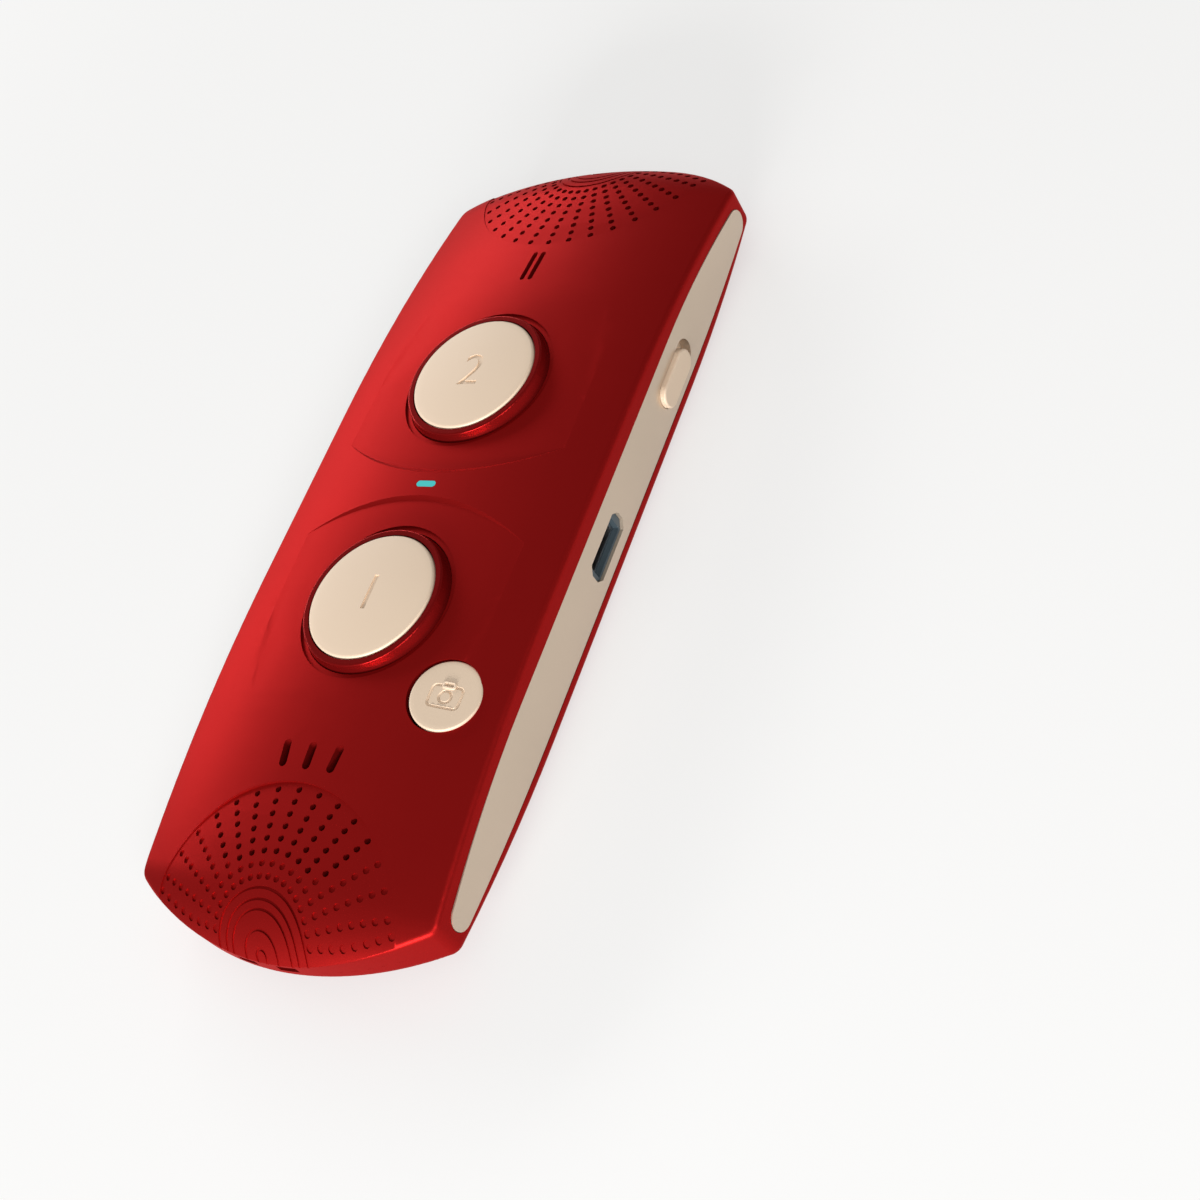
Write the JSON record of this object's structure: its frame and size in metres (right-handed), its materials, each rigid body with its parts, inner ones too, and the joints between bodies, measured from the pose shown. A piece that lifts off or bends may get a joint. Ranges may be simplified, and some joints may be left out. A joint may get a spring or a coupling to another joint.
{
  "type": "handheld translator",
  "caption": "Slim handheld voice translator with round talk keys, a camera key, a status light, side slider, charging port and fans of sound holes at both ends.",
  "frame": {"origin": "on the plane that the back rests on, under the middle of the case", "axes": "+Z out of the face with the keys, +Y towards the top end, +X to the reader's right"},
  "size_m": [0.051, 0.1334, 0.0176],
  "materials": {
    "red_shell": "soft satin red",
    "red_gloss": "glossy red",
    "champagne": "fine satin champagne",
    "champagne_trim": "satin champagne strip",
    "cyan_light": "lit cyan",
    "board_green": "solder mask",
    "steel": "bright steel",
    "black_plastic": "black plastic",
    "slate_plastic": "dark slate plastic",
    "black_rubber": "soft black",
    "white_plastic": "white plastic",
    "battery_wrap": "silver pouch",
    "black_cloth": "fine black cloth",
    "window_glass": "dark clear glass"
  },
  "bodies": {
    "case": {"battery_cell": "battery_wrap", "battery_leads": "black_rubber", "battery_pad": "black_rubber", "battery_plug": "white_plastic", "board_antenna": "white_plastic", "board_chips": "black_plastic", "board_screws": "steel", "camera_module": "black_plastic", "camera_switch": "black_plastic", "camera_window": "window_glass", "case_screws": "steel", "charging_socket": "steel", "front_shell": "red_shell", "left_side_trim": "champagne_trim", "lower_button_collar": "red_gloss", "lower_grille_cloth": "black_cloth", "lower_microphone": "steel", "lower_microphone_boot": "black_rubber", "lower_speaker": "black_plastic", "lower_speaker_gasket": "black_rubber", "lower_talk_switch": "black_plastic", "main_circuit_board": "board_green", "port_frame": "slate_plastic", "rear_shell": "red_shell", "right_side_trim": "champagne_trim", "shield_can": "steel", "slide_switch_body": "steel", "socket_tongue": "black_plastic", "status_led": "white_plastic", "status_light_pipe": "cyan_light", "upper_button_collar": "red_gloss", "upper_grille_cloth": "black_cloth", "upper_microphone": "steel", "upper_microphone_boot": "black_rubber", "upper_speaker": "black_plastic", "upper_speaker_gasket": "black_rubber", "upper_talk_switch": "black_plastic"},
    "upper_button": {"upper_talk_button": "champagne"},
    "lower_button": {"lower_talk_button": "champagne"},
    "photo_button": {"camera_button": "champagne"},
    "upper_plunger": {"upper_talk_plunger": "white_plastic"},
    "lower_plunger": {"lower_talk_plunger": "white_plastic"},
    "photo_plunger": {"camera_plunger": "white_plastic"},
    "slider": {"power_slider_knob": "champagne"},
    "switch_lever": {"slide_switch_lever": "black_plastic"}
  },
  "joints": [
    {"name": "upper_button_press", "type": "slide", "parent": "case", "child": "upper_button", "axis": [0, 0, -1], "range_m": [0, 0.0005], "stiffness_N_per_m": 1900},
    {"name": "lower_button_press", "type": "slide", "parent": "case", "child": "lower_button", "axis": [0, 0, -1], "range_m": [0, 0.0005], "stiffness_N_per_m": 1900},
    {"name": "camera_button_press", "type": "slide", "parent": "case", "child": "photo_button", "axis": [-0.1736, 0, -0.9848], "range_m": [0, 0.0003], "stiffness_N_per_m": 1900},
    {"name": "upper_plunger_press", "type": "slide", "parent": "case", "child": "upper_plunger", "axis": [0, 0, -1], "range_m": [0, 0.0005]},
    {"name": "lower_plunger_press", "type": "slide", "parent": "case", "child": "lower_plunger", "axis": [0, 0, -1], "range_m": [0, 0.0005]},
    {"name": "camera_plunger_press", "type": "slide", "parent": "case", "child": "photo_plunger", "axis": [0, 0, -1], "range_m": [0, 0.0003]},
    {"name": "power_slide", "type": "slide", "parent": "case", "child": "slider", "axis": [0, 1, 0], "range_m": [0, 0.0017]},
    {"name": "switch_lever_slide", "type": "slide", "parent": "case", "child": "switch_lever", "axis": [0, 1, 0], "range_m": [0, 0.0017]}
  ],
  "couplings": [
    {"joint": "upper_plunger_press", "follows": "upper_button_press", "ratio": 1},
    {"joint": "lower_plunger_press", "follows": "lower_button_press", "ratio": 1},
    {"joint": "camera_plunger_press", "follows": "camera_button_press", "ratio": 0.9848},
    {"joint": "switch_lever_slide", "follows": "power_slide", "ratio": 1}
  ]
}
